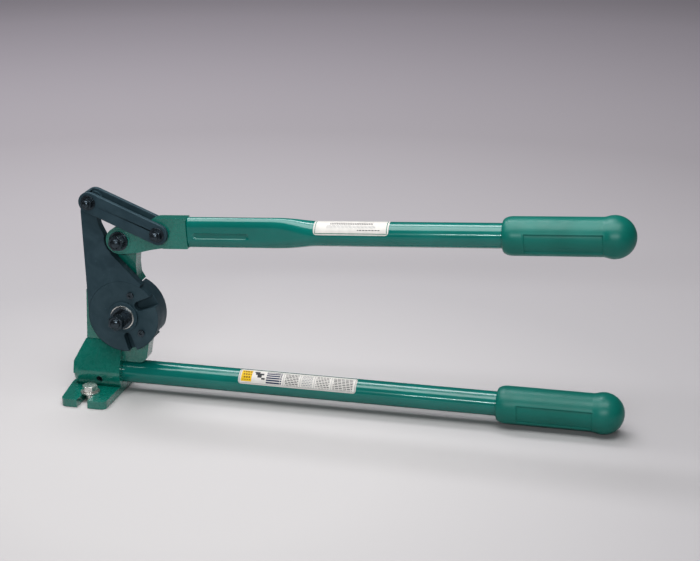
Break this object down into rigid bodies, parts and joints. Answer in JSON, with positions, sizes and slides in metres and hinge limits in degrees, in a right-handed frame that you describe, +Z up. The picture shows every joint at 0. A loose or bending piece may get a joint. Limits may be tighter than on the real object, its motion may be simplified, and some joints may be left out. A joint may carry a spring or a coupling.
{
  "type": "bench rod cutter",
  "caption": "Bench-mounted lever shear for steel rod: two notched die discs, a linked arm and a pair of long pipe handles with soft grips.",
  "frame": {"origin": "on the bench at the middle of the foot, midway between its two slots", "axes": "+X along the handles towards the grips, -Y the working side, +Z up from the bench"},
  "size_m": [0.7825, 0.158, 0.3083],
  "materials": {
    "green_cast": "gloss green paint over a cast surface",
    "green_tube": "gloss green paint",
    "black_oxide": "satin black oxide",
    "tool_steel": "ground and blackened tool steel",
    "zinc": "bright zinc plate",
    "dark_fastener": "oiled black oxide",
    "bronze": "sintered bronze",
    "grip_vinyl": "moulded green vinyl"
  },
  "bodies": {
    "base": {"base_casting": "green_cast", "fixed_die": "tool_steel", "die_lock_screw": "dark_fastener", "main_stud": "dark_fastener", "stud_nuts": "dark_fastener", "stud_washers": "zinc", "stud_collar": "dark_fastener", "arm_thrust_ring": "black_oxide", "handle_pivot_bolt": "dark_fastener", "yoke_shim_washer": "black_oxide", "handle_pivot_washer": "dark_fastener", "handle_pivot_nut": "dark_fastener", "lower_handle_tube": "green_tube", "lower_grip": "grip_vinyl", "handle_set_screw": "dark_fastener", "foot_bolts": "zinc", "foot_washers": "zinc"},
    "upper_handle": {"handle_yoke": "green_cast", "yoke_bush": "bronze", "upper_handle_tube": "green_tube", "upper_grip": "grip_vinyl"},
    "arm": {"shear_arm": "black_oxide", "moving_die": "tool_steel", "arm_bush": "bronze", "die_cap_screws": "dark_fastener"},
    "links": {"front_link": "black_oxide", "rear_link": "black_oxide", "link_bolts": "dark_fastener", "link_washers": "dark_fastener", "link_nuts": "dark_fastener", "link_spacers": "black_oxide"}
  },
  "joints": [
    {"name": "handle_hinge", "type": "hinge", "parent": "base", "child": "upper_handle", "pos_m": [0.0465, -0.02035, 0.2305], "axis": [0, -1, 0], "range_deg": [0, 135]},
    {"name": "arm_hinge", "type": "hinge", "parent": "base", "child": "arm", "pos_m": [0.0465, -0.02035, 0.12], "axis": [0, -1, 0], "range_deg": [0, 44.35]},
    {"name": "link_hinge", "type": "hinge", "parent": "upper_handle", "child": "links", "pos_m": [0.10446, -0.02035, 0.24496], "axis": [0, -1, 0], "range_deg": [-83.9, 0]}
  ],
  "couplings": [
    {"joint": "arm_hinge", "follows": "handle_hinge", "ratio": 0.32815},
    {"joint": "link_hinge", "follows": "handle_hinge", "ratio": -0.62089}
  ]
}
